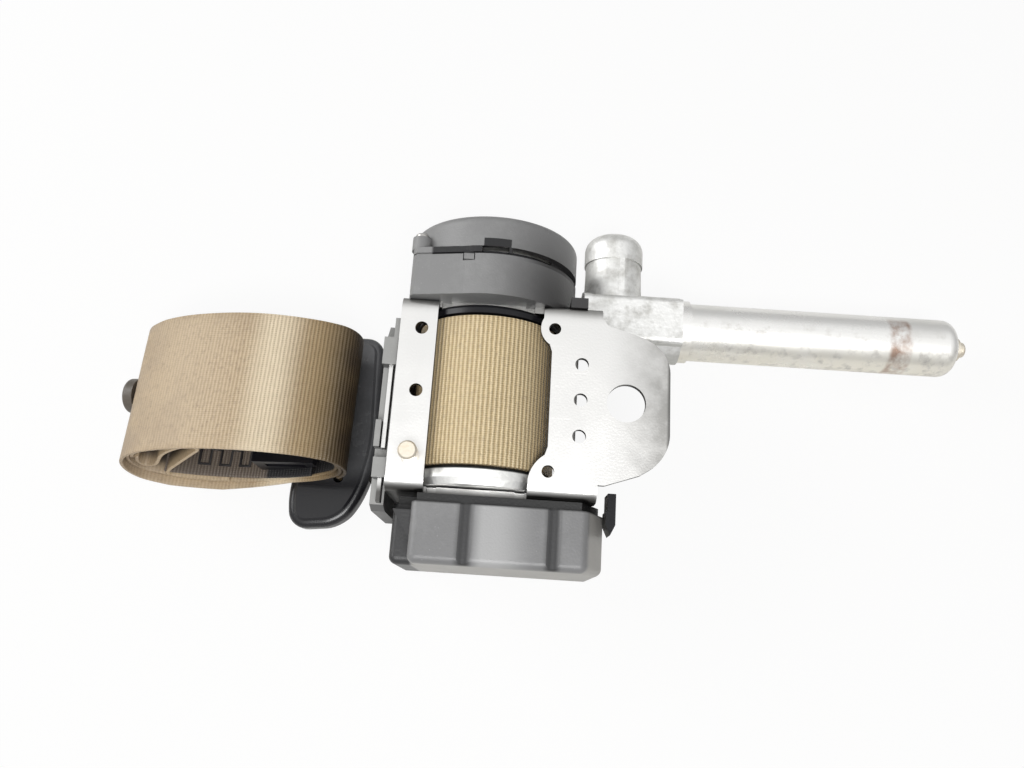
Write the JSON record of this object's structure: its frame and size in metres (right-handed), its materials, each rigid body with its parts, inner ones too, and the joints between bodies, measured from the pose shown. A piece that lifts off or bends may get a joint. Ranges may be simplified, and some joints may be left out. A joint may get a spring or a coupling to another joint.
{
  "type": "seat belt retractor",
  "caption": "Front seat-belt retractor: U-shaped steel frame, webbing spool, lock and spring housings, piston pretensioner tube, guide ring and a roll of tan webbing.",
  "frame": {"origin": "centre of the anchor bolt hole on the frame's outer mounting face", "axes": "+X along the pretensioner tube, away from the spool; +Y along the spool, towards the return spring; +Z out of the mounting face"},
  "size_m": [0.294, 0.1236, 0.0599],
  "materials": {
    "plated_steel": "zinc-plated pressed sheet",
    "tube_steel": "zinc-plated drawn tube",
    "turned_steel": "turned steel",
    "cast_alloy": "die-cast, as cast",
    "brass": "yellow passivated",
    "black_housing": "fine spark-eroded",
    "grey_cover": "satin moulded",
    "pale_guide": "satin moulded",
    "ring_plastic": "half-gloss moulded",
    "white_nylon": "natural acetal",
    "webbing": "woven polyester, tan",
    "seal_rubber": "smooth",
    "button_plastic": "satin moulded"
  },
  "bodies": {
    "frame": {"anchor_cover": "black_housing", "anchor_plate": "plated_steel", "cover_clip": "plated_steel", "cover_screw": "turned_steel", "crimp_ring": "tube_steel", "gas_generator": "turned_steel", "guide_ring": "ring_plastic", "locating_stud": "brass", "lock_cover": "grey_cover", "pawl_pin": "plated_steel", "piston_tube": "tube_steel", "pretensioner_base": "black_housing", "retractor_frame": "plated_steel", "return_spring": "plated_steel", "ring_plate": "plated_steel", "sensor_housing": "white_nylon", "shaft_bush_lock_side": "white_nylon", "shaft_bush_spring_side": "white_nylon", "spring_cover": "black_housing", "spring_plate": "black_housing", "stop_button": "button_plastic", "tie_bar": "plated_steel", "trigger_cap": "cast_alloy", "trigger_spring": "plated_steel", "tube_nipple": "brass", "union_block": "cast_alloy", "union_screws": "turned_steel", "wear_strip": "plated_steel", "webbing_bundle": "webbing", "webbing_end": "webbing", "webbing_guide": "pale_guide", "webbing_tail": "webbing"},
    "spool": {"spool_shaft": "turned_steel", "spool_drum": "cast_alloy", "spool_flange_upper": "black_housing", "spool_flange_lower": "cast_alloy", "webbing_roll": "webbing", "clutch_hub": "turned_steel", "spring_arbor": "white_nylon", "lock_ratchet": "plated_steel", "lock_gear": "white_nylon"},
    "pulley": {"cable_pulley": "cast_alloy", "cable_wrap": "tube_steel", "clutch_rollers": "turned_steel"},
    "piston_rod": {"piston": "cast_alloy", "piston_seals": "seal_rubber", "pull_cable": "tube_steel"},
    "pawl": {"lock_pawl": "plated_steel"},
    "ball": {"sensor_ball": "turned_steel"},
    "lever": {"sensor_lever": "white_nylon"},
    "inertia_mass": {"trigger_mass": "turned_steel"}
  },
  "joints": [
    {"name": "spool_spin", "type": "hinge", "parent": "frame", "child": "spool", "pos_m": [-0.044, 0, -0.02], "axis": [0, 1, 0], "continuous": true},
    {"name": "piston_slide", "type": "slide", "parent": "frame", "child": "piston_rod", "axis": [1, 0, 0], "range_m": [0, 0.075]},
    {"name": "pulley_spin", "type": "hinge", "parent": "frame", "child": "pulley", "pos_m": [-0.044, 0.0378, -0.02], "axis": [0, -1, 0], "range_deg": [0, 239]},
    {"name": "pawl_swing", "type": "hinge", "parent": "frame", "child": "pawl", "pos_m": [-0.0322, -0.034, -0.0388], "axis": [0, -1, 0], "range_deg": [0, 5.5]},
    {"name": "ball_roll", "type": "slide", "parent": "frame", "child": "ball", "axis": [-1, 0, 0], "range_m": [0, 0.0012]},
    {"name": "lever_lift", "type": "hinge", "parent": "frame", "child": "lever", "pos_m": [-0.021, -0.0405, -0.047], "axis": [0, -1, 0], "range_deg": [0, 5.5]},
    {"name": "mass_slide", "type": "slide", "parent": "frame", "child": "inertia_mass", "axis": [0, -1, 0], "range_m": [0, 0.0028]}
  ],
  "couplings": [
    {"joint": "pulley_spin", "follows": "piston_slide", "rad_per_m": 55.556},
    {"joint": "lever_lift", "follows": "ball_roll", "rad_per_m": 77}
  ]
}
